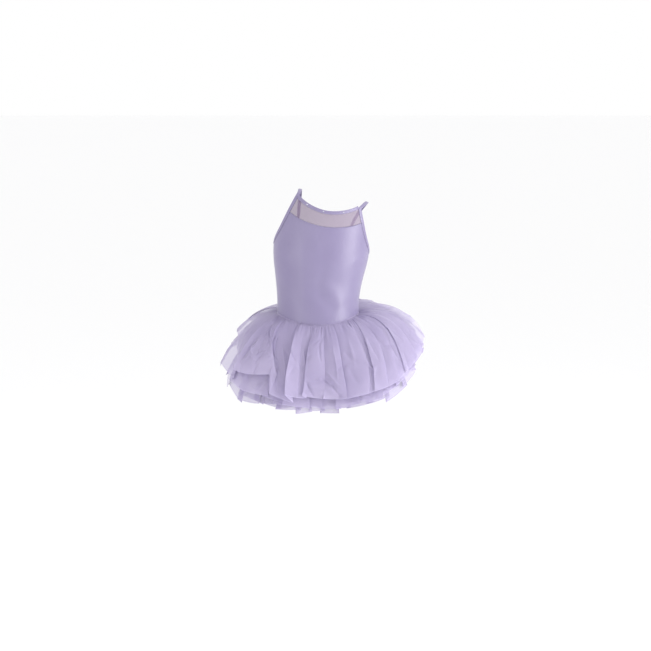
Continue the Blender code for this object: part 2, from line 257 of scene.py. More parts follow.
def smooth(at, xs, ys):
    """A smooth curve through the points (xs, ys), with xs rising."""
    xs, ys = np.asarray(xs, float), np.asarray(ys, float)
    slopes = np.gradient(ys, xs)
    at = np.clip(np.asarray(at, float), xs[0], xs[-1])
    i = np.clip(np.searchsorted(xs, at) - 1, 0, len(xs) - 2)
    step = xs[i + 1] - xs[i]
    t = (at - xs[i]) / step
    rise = ys[i + 1] - ys[i]
    s0, s1 = slopes[i] * step, slopes[i + 1] * step
    return ys[i] + t * (s0 + t * (3 * rise - 2 * s0 - s1 + t * (s0 + s1 - 2 * rise)))


def round_table(at_degrees, table, column):
    """A column of a table whose rows go round the body."""
    rows = [(row[0] - 360, *row[1:]) for row in table] + list(table)
    rows += [(row[0] + 360, *row[1:]) for row in table]
    at = np.mod(at_degrees, 360)
    return smooth(at, [row[0] for row in rows], [row[column] for row in rows])


def torso_radii(height):
    """The torso's half width and half depth at a height."""
    heights = [row[0] for row in reversed(TORSO)]
    half_width = smooth(height, heights, [row[1] for row in reversed(TORSO)])
    half_depth = smooth(height, heights, [row[2] for row in reversed(TORSO)])
    return half_width, half_depth


def torso(angle, height, out=0.0):
    """Points on the torso. The angle is in radians from the centre front."""
    half_width, half_depth = torso_radii(height)
    x = (half_width + out) * np.sin(angle)
    y = -(half_depth + out) * np.cos(angle)
    return np.stack([x, y, np.broadcast_to(height, np.shape(x))], axis=-1)


def outward(points):
    """Unit normals of the torso near points on it, level with the ground."""
    half_width, half_depth = torso_radii(points[..., 2])
    flat = np.zeros_like(half_width)
    normal = np.stack([points[..., 0] / half_width**2, points[..., 1] / half_depth**2, flat], axis=-1)
    return unit(normal)


def unit(vectors):
    """The vectors at length 1."""
    return vectors / np.linalg.norm(vectors, axis=-1, keepdims=True)


def seam_height(angle):
    """The waist seam dips at the centre front."""
    front = np.clip(np.cos(angle), 0, 1) ** 2
    back = np.clip(-np.cos(angle), 0, 1) ** 2
    return SEAM_SIDE + (SEAM_FRONT - SEAM_SIDE) * front + (SEAM_BACK - SEAM_SIDE) * back


def lean(points):
    """The pose, in metres: each level turns about the depth axis, more the higher it is."""
    points = np.asarray(points, float)
    below = np.clip(-points[..., 2], 0, LEAN_LENGTH)
    turn = LEAN_AT_TOP * (1 - below / LEAN_LENGTH)
    curve = LEAN_LENGTH / LEAN_AT_TOP
    axis_x = -curve * (np.cos(turn) - math.cos(LEAN_AT_TOP))
    axis_z = -curve * (math.sin(LEAN_AT_TOP) - np.sin(turn))
    off_axis = points[..., 2] + below
    return MM * np.stack(
        [
            axis_x + points[..., 0] * np.cos(turn) + off_axis * np.sin(turn),
            points[..., 1],
            axis_z - points[..., 0] * np.sin(turn) + off_axis * np.cos(turn),
        ],
        axis=-1,
    )


def bump(distance, width):
    """A soft hump: 1 at distance 0, falling to 0 over about the width."""
    return np.exp(-((distance / width) ** 2))


def new_object(name, data):
    """An object in the scene that holds a mesh, a camera or a light."""
    obj = bpy.data.objects.new(name, data)
    bpy.context.scene.collection.objects.link(obj)
    return obj


def faceted_piece(name, points, faces, material):
    """A small piece from points in millimetres and the faces between them."""
    mesh = bpy.data.meshes.new(name)
    mesh.from_pydata(lean(np.array(points)).tolist(), [], faces)
    mesh.materials.append(material)
    obj = new_object(name, mesh)
    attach(obj, "root")
    return obj


def grid_object(name, grid, material, closed=False, wall=0.0):
    """A sheet through a grid of points in millimetres, with UVs in metres along the cloth."""
    rows, columns = grid.shape[:2]
    index = np.arange(rows * columns).reshape(rows, columns)
    here = index if closed else index[:, :-1]
    there = np.roll(index, -1, axis=1) if closed else index[:, 1:]
    quads = np.stack([here[:-1], there[:-1], there[1:], here[1:]], axis=-1).reshape(-1, 4)
    mesh = bpy.data.meshes.new(name)
    mesh.from_pydata(lean(grid).reshape(-1, 3).tolist(), [], quads.tolist())
    mesh.materials.append(material)
    mesh.shade_smooth()
    across = np.linalg.norm(np.diff(grid, axis=1), axis=-1).mean(axis=0)
    down = np.linalg.norm(np.diff(grid, axis=0), axis=-1).mean(axis=1)
    across = np.concatenate([[0], np.cumsum(across)]) * MM
    down = np.concatenate([[0], np.cumsum(down)]) * MM
    step = across[-1] - across[-2]
    across_next = np.concatenate([across[1:], [across[-1] + step]])
    if not closed:
        across_next, across = across_next[:-1], across[:-1]
    u0, v0 = np.meshgrid(across, down[:-1])
    u1, v1 = np.meshgrid(across_next, down[1:])
    corners = np.stack([u0, v0, u1, v0, u1, v1, u0, v1], axis=-1)
    layer = mesh.uv_layers.new(name="cloth")
    layer.data.foreach_set("uv", corners.ravel().astype(np.float32))
    corners[..., 1::2] /= down[-1]
    layer = mesh.uv_layers.new(name="share")
    layer.data.foreach_set("uv", corners.ravel().astype(np.float32))
    obj = new_object(name, mesh)
    if wall:
        solid = obj.modifiers.new("wall", "SOLIDIFY")
        solid.thickness = wall * MM
        solid.offset = -1.0
    return obj


def set_inputs(node, **values):
    """Sets a node's sockets by name."""
    for socket, value in values.items():
        node.inputs[socket.replace("_", " ")].default_value = value


def shader_material(name, colour, roughness, **values):
    """A plain material, its node tree and its shader."""
    material = bpy.data.materials.new(name)
    material.use_nodes = True
    shader = material.node_tree.nodes["Principled BSDF"]
    set_inputs(shader, Base_Color=(*colour, 1.0), Roughness=roughness, **values)
    return material, material.node_tree, shader


def add_node(tree, kind, **values):
    """A node, with its sockets set by name."""
    node = tree.nodes.new(kind)
    set_inputs(node, **values)
    return node


def cloth_uv(tree, scale_u, scale_v):
    """The cloth's own coordinates, scaled so that one unit is one repeat of a weave."""
    coordinates = tree.nodes.new("ShaderNodeUVMap")
    coordinates.uv_map = "cloth"
    mapping = tree.nodes.new("ShaderNodeMapping")
    mapping.inputs["Scale"].default_value = (scale_u, scale_v, 1.0)
    tree.links.new(coordinates.outputs["UV"], mapping.inputs["Vector"])
    return mapping.outputs["Vector"]


def share_down(tree):
    """How far down the cloth a point lies, from 0 to 1."""
    share = tree.nodes.new("ShaderNodeUVMap")
    share.uv_map = "share"
    split = tree.nodes.new("ShaderNodeSeparateXYZ")
    tree.links.new(share.outputs["UV"], split.inputs["Vector"])
    return split.outputs["Y"]


def colour_change(tree, shader, vector, scale, low, high, paler=0.0):
    """Soft variation of colour over the cloth, which may grow paler on its way down."""
    noise = add_node(tree, "ShaderNodeTexNoise", Scale=scale, Detail=3.0)
    tree.links.new(vector, noise.inputs["Vector"])
    ramp = tree.nodes.new("ShaderNodeValToRGB")
    ramp.color_ramp.elements[0].color = (*low, 1.0)
    ramp.color_ramp.elements[1].color = (*high, 1.0)
    ramp.color_ramp.elements[0].position = 0.3
    ramp.color_ramp.elements[1].position = 0.7 + paler
    factor = noise.outputs["Fac"]
    if paler:
        change = tree.nodes.new("ShaderNodeMath")
        change.operation = "MULTIPLY_ADD"
        change.inputs[1].default_value = paler
        tree.links.new(share_down(tree), change.inputs[0])
        tree.links.new(factor, change.inputs[2])
        factor = change.outputs["Value"]
    tree.links.new(factor, ramp.inputs["Fac"])
    tree.links.new(ramp.outputs["Color"], shader.inputs["Base Color"])


# Wales and courses of the knit in a metre of cloth
KNIT_WALES = 1400.0
KNIT_COURSES = 1000.0


def jersey_material():
    """Smooth stretch nylon: fine wales of knit, a soft sheen and slight shade changes."""
    material, tree, shader = shader_material("jersey_cloth", (0.29, 0.25, 0.44), 0.39)
    set_inputs(shader, Sheen_Weight=0.15, Sheen_Roughness=0.4, Specular_IOR_Level=0.75)
    vector = cloth_uv(tree, 1.0, 1.0)
    colour_change(tree, shader, vector, 14.0, (0.235, 0.2, 0.35), (0.255, 0.22, 0.37))
    knit = cloth_uv(tree, KNIT_WALES, KNIT_COURSES)
    wales = add_node(tree, "ShaderNodeTexWave", Scale=0.3, Distortion=0.6)
    wales.wave_type = "BANDS"
    wales.bands_direction = "X"
    tree.links.new(knit, wales.inputs["Vector"])
    relief = add_node(tree, "ShaderNodeBump", Strength=0.12, Distance=0.0002)
    tree.links.new(wales.outputs["Fac"], relief.inputs["Height"])
    tree.links.new(relief.outputs["Normal"], shader.inputs["Normal"])
    return material


# Share of a tulle sheet's length at which its last, cut edge starts
CUT_EDGE = 0.9945
# Distance from the edge of a net's cell at which its thread ends and its hole starts
THREAD_END = 0.05
HOLE_START = 0.2
# How much paler the tulle grows from the waist to the hem
PALER_AT_HEM = 0.3


def net_material(name, low, high, thread, hole, cell, edge=0.0):
    """A fine net: threads are denser than the holes between them. cell is a hole's size in mm,
    and edge is how much denser the net is where it is cut, at its hem."""
    material, tree, shader = shader_material(name, high, 0.65)
    set_inputs(shader, Sheen_Weight=0.6, Sheen_Roughness=0.35, Specular_IOR_Level=0.25)
    vector = cloth_uv(tree, 1.0, 1.0)
    colour_change(tree, shader, vector, 9.0, low, high, paler=PALER_AT_HEM if edge else 0.0)
    repeat = 1.0 / (cell * MM)
    net = tree.nodes.new("ShaderNodeTexVoronoi")
    net.voronoi_dimensions = "2D"
    net.feature = "DISTANCE_TO_EDGE"
    set_inputs(net, Scale=1.0, Randomness=0.25)
    tree.links.new(cloth_uv(tree, repeat, repeat), net.inputs["Vector"])
    alpha = add_node(tree, "ShaderNodeMapRange", From_Min=THREAD_END, From_Max=HOLE_START)
    set_inputs(alpha, To_Min=thread, To_Max=hole)
    tree.links.new(net.outputs["Distance"], alpha.inputs["Value"])
    if not edge:
        tree.links.new(alpha.outputs["Result"], shader.inputs["Alpha"])
        return material
    at_edge = tree.nodes.new("ShaderNodeMath")
    at_edge.operation = "GREATER_THAN"
    at_edge.inputs[1].default_value = CUT_EDGE
    tree.links.new(share_down(tree), at_edge.inputs[0])
    denser = tree.nodes.new("ShaderNodeMath")
    denser.operation = "MULTIPLY_ADD"
    denser.use_clamp = True
    denser.inputs[1].default_value = edge
    tree.links.new(at_edge.outputs["Value"], denser.inputs[0])
    tree.links.new(alpha.outputs["Result"], denser.inputs[2])
    tree.links.new(denser.outputs["Value"], shader.inputs["Alpha"])
    return material


def fine_edge(edge, first, last, rows):
    """Angles in radians and heights of evenly spaced rows up an armhole edge."""
    at = np.linspace(first, last, rows)
    index = np.arange(len(edge))
    angle = smooth(at, index, [row[0] for row in edge])
    return np.radians(angle), smooth(at, index, [row[1] for row in edge])


def panel_points(edge_angle, edge_height, centre_height, level, columns, back=False):
    """Angles and heights of a panel whose rows run from edge to edge through its centre line."""
    across = np.linspace(-1, 1, columns)
    angle = across[None, :] * edge_angle[:, None]
    level = np.broadcast_to(level, np.shape(edge_angle))[:, None]
    climb = level * np.abs(across) ** DIP_POWER + (1 - level) * np.sin(0.5 * math.pi * across) ** 2
    height = centre_height[:, None] + (edge_height - centre_height)[:, None] * climb
    return angle + (math.pi if back else 0.0), height


WALL = 0.9
PANEL_ROWS = 60
PANEL_COLUMNS = 141
# Puckers of the waist seam: waves round the body, where they start and their share of the height
PUCKERS = ((61, 0.0, 0.5), (97, 1.3, 0.35))
PUCKER_HEIGHT = 0.35
WAIST_SEAM_SINK = 0.4
SIDE_SEAM_SINK = 0.35
SIDE_SEAM_WIDTH = 1.6
# Radii that turn an angle round the torso into a length
ROUND_BODY = 97.0
ROUND_SIDE = 100.0

# Soft drag lines and puckers of the jersey: from an angle in degrees and a height to another pair,
# how far they stand out and how wide they are, in mm
FRONT_DRAGS = (
    (3, -88, 4, -262, -1.5, 15),
    (-24, -96, -20, -270, 0.8, 13),
    (2, -188, 40, -262, 1.5, 15),
    (-8, -206, 26, -276, -1.0, 13),
    (70, -262, 88, -255, 1.5, 2.6),
    (66, -271, 89, -268, 1.3, 2.4),
    (72, -252, 86, -240, -1.1, 3.4),
    (60, -276, 80, -279, -1.0, 2.4),
    (-88, -262, -70, -270, 0.7, 3.0),
    (70, -128, 40, -150, 0.8, 9),
    (-70, -128, -38, -156, 0.8, 9),
)
BACK_DRAGS = (
    (0, -130, 0, -268, -2.2, 17),
    (-70, -262, -88, -254, 1.4, 2.8),
    (-66, -272, -88, -269, 1.1, 2.4),
    (-58, -246, -84, -236, -0.9, 4.0),
    (66, -136, 30, -170, 0.8, 10),
    (-66, -136, -30, -172, 0.8, 10),
    (20, -252, 66, -266, 0.7, 6),
)


def soft_line(angle, height, angle_0, height_0, angle_1, height_1, out, width):
    """A soft ridge or trough along a line on the torso, fading at both ends."""
    x = ROUND_BODY * angle
    x0 = ROUND_BODY * math.radians(angle_0)
    x1 = ROUND_BODY * math.radians(angle_1)
    long = math.hypot(x1 - x0, height_1 - height_0)
    along_x, along_z = (x1 - x0) / long, (height_1 - height_0) / long
    forward = ((x - x0) * along_x + (height - height_0) * along_z) / long
    aside = (x - x0) * along_z - (height - height_0) * along_x
    ends = bump(np.maximum(np.abs(forward - 0.5) - 0.3, 0), 0.14)
    return out * ends * bump(aside, width)


def bodice_panel(name, edge, arm_last, centre_top, seam_centre, back, material):
    """A jersey panel from the waist seam up, with the seam's small puckers."""
    side_rows = PANEL_ROWS // 2
    heights = np.linspace(SEAM_SIDE - 0.5, ARMHOLE_BOTTOM, side_rows)
    arm_angle, arm_height = fine_edge(edge, 0, arm_last, PANEL_ROWS - side_rows + 1)
    angle = np.concatenate([np.full(side_rows, 0.5 * math.pi), arm_angle[1:]])
    height = np.concatenate([heights, arm_height[1:]])
    share = np.linspace(0, 1, len(height))
    centre = seam_centre + (centre_top - seam_centre) * share
    angle, height = panel_points(angle, height, centre, share, PANEL_COLUMNS, back)
    above_seam = height - seam_height(angle)
    ripple = sum(part * np.sin(waves * angle + start) for waves, start, part in PUCKERS)
    out = PUCKER_HEIGHT * ripple * bump(above_seam - 5, 7) - WAIST_SEAM_SINK * bump(above_seam, 3)
    middle = math.pi if back else 0.0
    for fold in BACK_DRAGS if back else FRONT_DRAGS:
        out = out + soft_line(angle - middle, height, *fold)
    # The side seam is pressed open and lies a little lower than the cloth beside it
    from_side = (0.5 * math.pi - np.abs(np.abs(angle) - middle)) * ROUND_SIDE
    out -= SIDE_SEAM_SINK * bump(from_side, SIDE_SEAM_WIDTH)
    points = torso(angle, height) + out[..., None] * outward(torso(angle, height))
    return grid_object(name, points, material, wall=WALL)


def finish_piece(piece, node, sewn_on=()):
    """Attaches a cloth piece to the frame's root and hides the part of the frame that it replaces."""
    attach(piece, "root")
    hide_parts(node)


STITCH_PITCH = 2.6
STITCH_LENGTH = 1.9
STITCH_RADIUS = 0.22
STITCH_FROM_MIDDLE = 2.5
# Above 1, so that a stitch's ends are blunt
STITCH_BLUNTNESS = 1.04
# Half the length over which a path's direction is taken
LOOK_AHEAD = 0.3


def even_places(path, pitch):
    """Points, unit directions and shares at even steps along a path."""
    steps = np.linalg.norm(np.diff(path, axis=0), axis=1)
    length = np.concatenate([[0], np.cumsum(steps)])
    count = max(int(length[-1] / pitch), 1)
    at = (np.arange(count) + 0.5) * length[-1] / count
    point = np.stack([np.interp(at, length, path[:, k]) for k in range(3)], axis=1)
    ahead = np.stack([np.interp(at + LOOK_AHEAD, length, path[:, k]) for k in range(3)], axis=1)
    behind = np.stack([np.interp(at - LOOK_AHEAD, length, path[:, k]) for k in range(3)], axis=1)
    return point, unit(ahead - behind), at / length[-1]


def stitch_row(name, path, facing, material):
    """A row of small thread spindles along a path, proud of the cloth that faces outward."""
    point, along, share = even_places(path, STITCH_PITCH)
    shares = np.linspace(0, 1, len(facing))
    normal = np.stack([np.interp(share, shares, facing[:, k]) for k in range(3)], axis=1)
    sideways = unit(np.cross(along, normal))
    rings, sides = 5, 6
    around = np.linspace(0, 2 * math.pi, sides, endpoint=False)
    points, faces = [], []
    for p, a, n, s in zip(point, along, unit(normal), sideways):
        first = len(points)
        for ring in np.linspace(-1, 1, rings):
            radius = STITCH_RADIUS * math.sqrt(max(STITCH_BLUNTNESS - ring * ring, 0))
            middle = p + a * ring * 0.5 * STITCH_LENGTH
            for turn in around:
                points.append(middle + radius * (math.cos(turn) * s + math.sin(turn) * n))
        for r in range(rings - 1):
            for k in range(sides):
                one, two = first + r * sides + k, first + r * sides + (k + 1) % sides
                faces.append((one, two, two + sides, one + sides))
        faces.append(tuple(first + k for k in reversed(range(sides))))
        faces.append(tuple(first + (rings - 1) * sides + k for k in range(sides)))
    obj = faceted_piece(name, points, faces, material)
    obj.data.shade_smooth()
    return obj


def thread_material():
    """Matt sewing thread in the dress's colour."""
    return shader_material("thread", (0.36, 0.31, 0.52), 0.5, Sheen_Weight=0.2)[0]


jersey = jersey_material()
thread = thread_material()
yoke_net = net_material("yoke_net", (0.25, 0.19, 0.28), (0.28, 0.22, 0.31), thread=0.92, hole=0.7, cell=0.8)
tulle_net = net_material(
    "tulle_net", (0.385, 0.335, 0.535), (0.55, 0.49, 0.695), thread=0.82, hole=0.54, cell=1.3, edge=0.25
)

# The row at the yoke's seam: how far it runs towards the armholes, and how far below the seam it is
SEAM_ROW_REACH = 0.97
SEAM_ROW_DROP = 2.2


def seam_stitches():
    """The row that holds the yoke's seam flat, on the jersey under it."""
    angle, height = math.radians(FRONT_EDGE[YOKE_ROW][0]), FRONT_EDGE[YOKE_ROW][1]
    across = np.linspace(-SEAM_ROW_REACH, SEAM_ROW_REACH, 161)
    seam = YOKE_SEAM_CENTRE + (height - YOKE_SEAM_CENTRE) * np.abs(across) ** DIP_POWER
    path = torso(across * angle, seam - SEAM_ROW_DROP, 0.05)
    return stitch_row("yoke_seam_stitches", path, outward(path), thread)


front = bodice_panel("jersey_front", FRONT_EDGE, YOKE_ROW, YOKE_SEAM_CENTRE, SEAM_FRONT, False, jersey)
finish_piece(front, "bodice_front", sewn_on=[seam_stitches()])
back = bodice_panel(
    "jersey_back", BACK_EDGE, len(BACK_EDGE) - 1, BACK_NECK_CENTRE, SEAM_BACK, True, jersey
)
finish_piece(back, "bodice_back")


YOKE_ROWS = 14
YOKE_SINK = 0.3
SEAM_ALLOWANCE = 4.0
ALLOWANCE_SINK = 1.3
YOKE_INTO_BINDING = 3.0


def sheer_yoke():
    """The mesh, with its seam allowance under the top of the front panel."""
    angle, height = fine_edge(FRONT_EDGE, YOKE_ROW, len(FRONT_EDGE) - 1, YOKE_ROWS)
    centre = np.linspace(YOKE_SEAM_CENTRE, NECK_CENTRE, YOKE_ROWS)
    angle, height = panel_points(angle, height, centre, 1.0, PANEL_COLUMNS)
    points = torso(angle, height, -YOKE_SINK)
    under = torso(angle[0], height[0] - SEAM_ALLOWANCE, -ALLOWANCE_SINK)
    edge = torso(angle[0], height[0] - 0.2, -ALLOWANCE_SINK)
    inside = torso(angle[-1], height[-1] + YOKE_INTO_BINDING, -YOKE_SINK)
    cloth = np.concatenate([under[None], edge[None], points, inside[None]])
    piece = grid_object("sheer_yoke", cloth, yoke_net)
    finish_piece(piece, "yoke_mesh")


sheer_yoke()

# The binding is a jersey strip that is folded in four: its two raw edges lie turned in between
# the outer and the inner face, and open towards the cloth that it binds
BINDING_WIDTH = 8.0
BINDING_HALF_THICKNESS = 0.9
BINDING_CROWN = 0.25
TURNED_IN = 6.6
LAYER_STEP = 0.55
# From a bound edge to the binding, and from the cloth's face in to the binding's middle
GAP = 0.3
BINDING_SINK = 0.3
# How far a neck binding runs, as a share of the way to the strap, how deep its end lies, and over
# what share of the way it gets there
NECK_REACH = 1.025
NECK_END_DROP = 0.9
NECK_END_SHARE = 0.03
NECK_STATIONS = 121
STRAP_STATIONS = 90
ARMHOLE_BACK_ROWS = 50
ARMHOLE_FRONT_ROWS = 80
ARMHOLE_SMOOTHING = 6
# The strap's ends take their direction from this many stations of the armhole
STRAP_LEAD = 8
# The crown's share over the row of stitches
CROWN_AT_STITCHES = 0.6


def folded_section():
    """Points of the folded strip's section: distance across it and distance out, in mm."""
    half = 0.5 * BINDING_WIDTH
    fold = BINDING_HALF_THICKNESS
    small = 0.5 * LAYER_STEP
    flat = np.linspace(0, 1, 7)
    turned = [(-half + small + TURNED_IN * (1 - s), fold - LAYER_STEP) for s in flat]
    low_turn = [
        (-half + small - small * math.sin(a), fold - small - small * math.cos(a))
        for a in np.linspace(0, math.pi, 6)[1:]
    ]
    face = [
        (-half + small + (BINDING_WIDTH - small - fold) * s, fold + BINDING_CROWN * math.sin(math.pi * s))
        for s in flat[1:]
    ]
    top_turn = [
        (half - fold + fold * math.sin(a), fold * math.cos(a)) for a in np.linspace(0, 0.5 * math.pi, 5)[1:]
    ]
    outer = turned + low_turn + face + top_turn
    return outer + [(across, -out) for across, out in reversed(outer[:-1])]


def binding_strip(name, centre, across, facing, material, closed=False):
    """One folded binding along a path."""
    rows = [centre + w * across + t * facing for w, t in folded_section()]
    return grid_object(name, np.stack(rows)[::-1], material, closed=closed)


def neck_path(edge_angle, edge_height, centre_height, back):
    """Centre line, across and facing directions of a neck binding, whose ends go under the straps."""
    across = np.linspace(-NECK_REACH, NECK_REACH, NECK_STATIONS)
    height = centre_height + (edge_height - centre_height) * np.abs(across) ** DIP_POWER
    path = torso(across * edge_angle + (math.pi if back else 0.0), height)
    normals = outward(path)
    along = unit(np.gradient(path, axis=0))
    away = unit(np.cross(normals, along))
    under = NECK_END_DROP * bump(NECK_REACH - np.abs(across), NECK_END_SHARE)[:, None]
    centre = path + (GAP + 0.5 * BINDING_WIDTH) * away - (BINDING_SINK + under) * normals
    return centre, away, normals


def loop_path(side, free_points):
    """Centre line, across and facing directions of one armhole binding and strap."""
    back_angle, back_height = fine_edge(BACK_EDGE, len(BACK_EDGE) - 1, 0, ARMHOLE_BACK_ROWS)
    front_angle, front_height = fine_edge(FRONT_EDGE, 0, len(FRONT_EDGE) - 1, ARMHOLE_FRONT_ROWS)
    back = torso(side * (math.pi - back_angle), back_height)
    front = torso(side * front_angle, front_height)
    armhole = np.concatenate([back, front[1:]])
    for _ in range(ARMHOLE_SMOOTHING):
        armhole[1:-1] = 0.25 * armhole[:-2] + 0.5 * armhole[1:-1] + 0.25 * armhole[2:]
    normals = outward(armhole)
    away = unit(side * np.cross(np.gradient(armhole, axis=0), normals))
    bound = armhole + (GAP + 0.5 * BINDING_WIDTH) * away - BINDING_SINK * normals
    lead_in = bound[[-1 - STRAP_LEAD, -1]]
    lead_out = bound[[0, STRAP_LEAD]]
    guide = np.concatenate([lead_in, np.array(free_points, float), lead_out])
    at = np.linspace(1, len(guide) - 2, STRAP_STATIONS)
    centre = np.stack([smooth(at, np.arange(len(guide)), guide[:, k]) for k in range(3)], axis=1)
    share = np.linspace(0, 1, STRAP_STATIONS)[:, None]
    axis_x, axis_y, axis_z = STRAP_AXIS
    facing = unit(centre - np.array([axis_x * centre[:, 0].mean(), axis_y, axis_z]))
    free = np.sqrt(np.sin(math.pi * share))
    facing = unit(facing * free + (normals[-1] * (1 - share) + normals[0] * share) * (1 - free))
    across = side * unit(np.cross(unit(np.gradient(centre, axis=0)), facing))
    across = unit(across * free + (away[-1] * (1 - share) + away[0] * share) * (1 - free))
    return (
        np.concatenate([bound, centre[1:-1]]),
        np.concatenate([away, across[1:-1]]),
        np.concatenate([normals, facing[1:-1]]),
    )


def binding_stitches(name, centre, across, facing):
    """The row that closes the fold, near the edge beside the bound cloth."""
    out = BINDING_HALF_THICKNESS + CROWN_AT_STITCHES * BINDING_CROWN
    path = centre - STITCH_FROM_MIDDLE * across + out * facing
    return stitch_row(name, path, facing, thread)


def bindings():
    """The two neck bindings, then the two that go on as straps."""
    for name, node, edge, centre_height, is_back in (
        ("neckband_front", "neck_binding_front", FRONT_EDGE, NECK_CENTRE, False),
        ("neckband_back", "neck_binding_back", BACK_EDGE, BACK_NECK_CENTRE, True),
    ):
        angle, height = math.radians(edge[-1][0]), edge[-1][1]
        centre, away, normals = neck_path(angle, height, centre_height, is_back)
        piece = binding_strip(name, centre, away, normals, jersey)
        row = binding_stitches(name + "_stitches", centre, away, normals)
        finish_piece(piece, node, sewn_on=[row])
    for name, node, side, free in (
        ("strap_binding_left", "strap_left", 1, STRAP_LEFT),
        ("strap_binding_right", "strap_right", -1, STRAP_RIGHT),
    ):
        centre, across, facing = loop_path(side, free)
        if side < 0:
            centre, across, facing = centre[::-1], across[::-1], facing[::-1]
        piece = binding_strip(name, centre, across, facing, jersey, closed=True)
        loop = [np.concatenate([part, part[:1]]) for part in (centre, across, facing)]
        row = binding_stitches(name + "_stitches", *loop)
        finish_piece(piece, node, sewn_on=[row])


bindings()

BRIEF_COLUMNS = 81
BRIEF_ROWS = 60
# The brief's top edge, sewn in above the waist seam, and how far in it and the seam lie
BRIEF_TUCK = 5.0
BRIEF_TUCK_SINK = 1.2
BRIEF_SINK = 1.0
LEG_HEM_COLUMN = 5
LEG_HEM_FIRST_ROW = 14


def brief_panel(name, node, table, back):
    """Half of the brief, with a turned leg hem."""
    across = np.linspace(-1, 1, BRIEF_COLUMNS)
    angle = 0.5 * math.pi * across + (math.pi if back else 0.0)
    direction = -1.0 if back else 1.0
    rows = [
        torso(angle, seam_height(angle) + BRIEF_TUCK, -BRIEF_TUCK_SINK),
        torso(angle, seam_height(angle) - GAP, -BRIEF_SINK),
    ]
    for centre_z, centre_y, edge_x, edge_y, edge_z, reach in table:
        turn = math.radians(reach)
        weight = (np.cos(across * turn) - math.cos(turn)) / (1 - math.cos(turn))
        x = direction * edge_x * np.sin(across * turn) / math.sin(turn)
        rows.append(
            np.stack(
                [x, centre_y * weight + edge_y * (1 - weight), centre_z * weight + edge_z * (1 - weight)],
                axis=1,
            )
        )
    coarse = np.stack(rows)
    at = np.linspace(0, len(rows) - 1, BRIEF_ROWS)
    flat = coarse.reshape(len(rows), -1)
    fine = np.stack([smooth(at, np.arange(len(rows)), flat[:, k]) for k in range(flat.shape[1])], axis=1)
    cloth = fine.reshape(BRIEF_ROWS, BRIEF_COLUMNS, 3)
    piece = grid_object(name, cloth, jersey, wall=WALL)
    normals = unit(np.cross(np.gradient(cloth, axis=0), np.gradient(cloth, axis=1)))
    hems = []
    for side, column in (("left", LEG_HEM_COLUMN), ("right", BRIEF_COLUMNS - 1 - LEG_HEM_COLUMN)):
        normal = normals[LEG_HEM_FIRST_ROW:, column]
        path = cloth[LEG_HEM_FIRST_ROW:, column] + 0.1 * normal
        hems.append(stitch_row(f"{name}_{side}_hem_stitches", path, normal, thread))
    finish_piece(piece, node, sewn_on=hems)


brief_panel("brief_cloth_front", "brief_front", BRIEF_FRONT, False)
brief_panel("brief_cloth_back", "brief_back", BRIEF_BACK, True)

# Samples across a panel and across a turned fold, and rows down an outer and an inner sheet
PANEL_SAMPLES = 24
FOLD_SAMPLES = 14
OUTER_ROWS = 70
INNER_ROWS = 40
ROW_SPACING = 1.1
SMOOTHING_PASSES = 3
# A tier's mean distance from the axis, and its length in mm: round it a degree, and down it
MEAN_RADIUS = 225.0
MM_PER_DEGREE = 3.4
TIER_LENGTH = 190.0
# Small gathers at the seam: waves round the body, and how far down they reach as a share
GATHERS = ((31, 0.17), (53, 0.17), (89, 0.1))
GATHER_HEIGHT = 0.6
# The sheet's edge sewn in above the seam, its lip below it, and how far in and out they lie
TULLE_TUCK = 3.0
TULLE_TUCK_SINK = 0.7
LIP_DROP = 2.0
LIP_CLEARANCE = 0.2
LIP_STEP = 0.5
# The share of the length at which a sheet is as far off its tier's surface as it gets
OFFSET_FULL_AT = 0.3
# How a fold grows down the tulle, as powers of the share of the length: its way to its place at the
# hem, and its overlap. It also wanders by some degrees.
FOLD_BEND = 0.65
OVERLAP_GROWTH = 0.6
FOLD_WANDER = 0.7
# A fold's step at the waist, where it is full, and how much of it lies above the tier's surface
STEP_AT_WAIST = 0.12
STEP_FULL_AT = 0.4
STEP_ABOVE = 0.6
# The share of the length from which a tucked hem turns under
TUCK_FROM = 0.82
# What is drawn for the folds that are not listed
UNEVENNESS = 0.42
DRAWN_HEM_SHIFT = (-1.5, 1.5)
DRAWN_OVERLAP = (1.5, 7.5)
DRAWN_STEP = (0.6, 1.4)
DRAWN_CROWN = (-1.0, 3.0)
DRAWN_LONGER = (-6, 7)
DRAWN_TUCKS = (0, 0, 0, 0, 6)
# What is drawn for the creases: share at the start, degrees across, share down, height and width
CREASE_COUNT = 70
CREASE_START = (0.1, 0.8)
CREASE_ACROSS = (-13, 13)
CREASE_DOWN = (0.1, 0.4)
CREASE_HEIGHT = (1.2, 3.4)
CREASE_WIDTH = (2.4, 4.2)
CREASE_WANDER = 1.1


def folds_round(fixed, count, rng, size):
    """Rows of a fold table all the way round: the given ones, then others of uneven size."""
    rows = list(fixed) or [fold_row(0.0, 0.0, rng, size)]
    last_waist, last_hem = rows[-1][:2]
    waist_left = rows[0][0] + 360 - last_waist
    hem_left = rows[0][1] + 360 - last_hem
    widths = np.exp(rng.normal(0, UNEVENNESS, count + 1))
    share = np.cumsum(widths)[:-1] / widths.sum()
    for at in share:
        hem = last_hem + hem_left * at + rng.uniform(*DRAWN_HEM_SHIFT)
        rows.append(fold_row(last_waist + waist_left * at, hem, rng, size))
    return np.array(rows, float)


